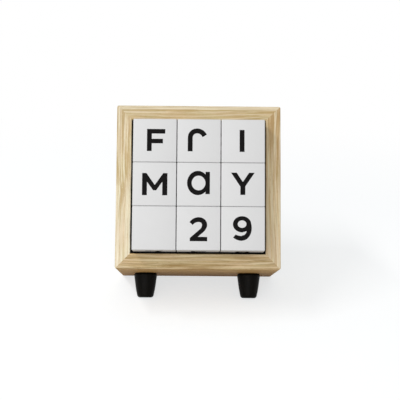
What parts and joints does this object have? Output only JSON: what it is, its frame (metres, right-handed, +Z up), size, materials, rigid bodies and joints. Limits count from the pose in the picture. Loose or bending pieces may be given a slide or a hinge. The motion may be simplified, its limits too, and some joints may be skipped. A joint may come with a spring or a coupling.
{
  "type": "desk calendar with drawer",
  "caption": "Square wooden desk calendar that leans back on short tapered legs, with lift-out date blocks in a tray at its front and a drawer in its side.",
  "frame": {"origin": "on the desk, under the middle of the whole object's box", "axes": "+Z up, -Y towards the reader in front of the blocks, +X to the reader's right, the side that the drawer opens to"},
  "size_m": [0.153, 0.1856, 0.1884],
  "materials": {
    "oak": "clear matt lacquer",
    "birch_ply": "sanded",
    "beech": "sanded",
    "black_plastic": "moulded, fine texture",
    "black_lacquer": "satin black lacquer",
    "white_plastic": "satin moulded",
    "zinc_steel": "zinc plated",
    "brass": "machined"
  },
  "bodies": {
    "case": {"top_board": "oak", "bottom_board": "oak", "left_board": "oak", "right_board": "oak", "divider_panel": "birch_ply", "back_panel": "birch_ply", "back_screws": "zinc_steel", "block_tray": "black_plastic", "tray_screws": "zinc_steel", "drawer_shelf": "birch_ply", "front_runner": "beech", "rear_runner": "beech", "drawer_stop": "beech", "left_leg": "black_lacquer", "right_leg": "black_lacquer", "leg_inserts": "brass", "leg_studs": "zinc_steel"},
    "drawer": {"drawer_front": "oak", "drawer_back": "beech", "drawer_near_side": "beech", "drawer_far_side": "beech", "drawer_bottom": "birch_ply"},
    "weekday_block_1": {"weekday_block_1": "white_plastic"},
    "weekday_block_2": {"weekday_block_2": "white_plastic"},
    "weekday_block_3": {"weekday_block_3": "white_plastic"},
    "month_block_1": {"month_block_1": "white_plastic"},
    "month_block_2": {"month_block_2": "white_plastic"},
    "month_block_3": {"month_block_3": "white_plastic"},
    "plain_block": {"plain_block": "white_plastic"},
    "date_tens_block": {"date_tens_block": "white_plastic"},
    "date_units_block": {"date_units_block": "white_plastic"}
  },
  "joints": [
    {"name": "drawer_slide", "type": "slide", "parent": "case", "child": "drawer", "axis": [1, 0, 0], "range_m": [0, 0.09]},
    {"name": "weekday_block_1_lift", "type": "slide", "parent": "case", "child": "weekday_block_1", "axis": [0, -0.9089, 0.4171], "range_m": [0, 0.045]},
    {"name": "weekday_block_2_lift", "type": "slide", "parent": "case", "child": "weekday_block_2", "axis": [0, -0.9089, 0.4171], "range_m": [0, 0.045]},
    {"name": "weekday_block_3_lift", "type": "slide", "parent": "case", "child": "weekday_block_3", "axis": [0, -0.9089, 0.4171], "range_m": [0, 0.045]},
    {"name": "month_block_1_lift", "type": "slide", "parent": "case", "child": "month_block_1", "axis": [0, -0.9089, 0.4171], "range_m": [0, 0.045]},
    {"name": "month_block_2_lift", "type": "slide", "parent": "case", "child": "month_block_2", "axis": [0, -0.9089, 0.4171], "range_m": [0, 0.045]},
    {"name": "month_block_3_lift", "type": "slide", "parent": "case", "child": "month_block_3", "axis": [0, -0.9089, 0.4171], "range_m": [0, 0.045]},
    {"name": "plain_block_lift", "type": "slide", "parent": "case", "child": "plain_block", "axis": [0, -0.9089, 0.4171], "range_m": [0, 0.045]},
    {"name": "date_tens_block_lift", "type": "slide", "parent": "case", "child": "date_tens_block", "axis": [0, -0.9089, 0.4171], "range_m": [0, 0.045]},
    {"name": "date_units_block_lift", "type": "slide", "parent": "case", "child": "date_units_block", "axis": [0, -0.9089, 0.4171], "range_m": [0, 0.045]}
  ]
}
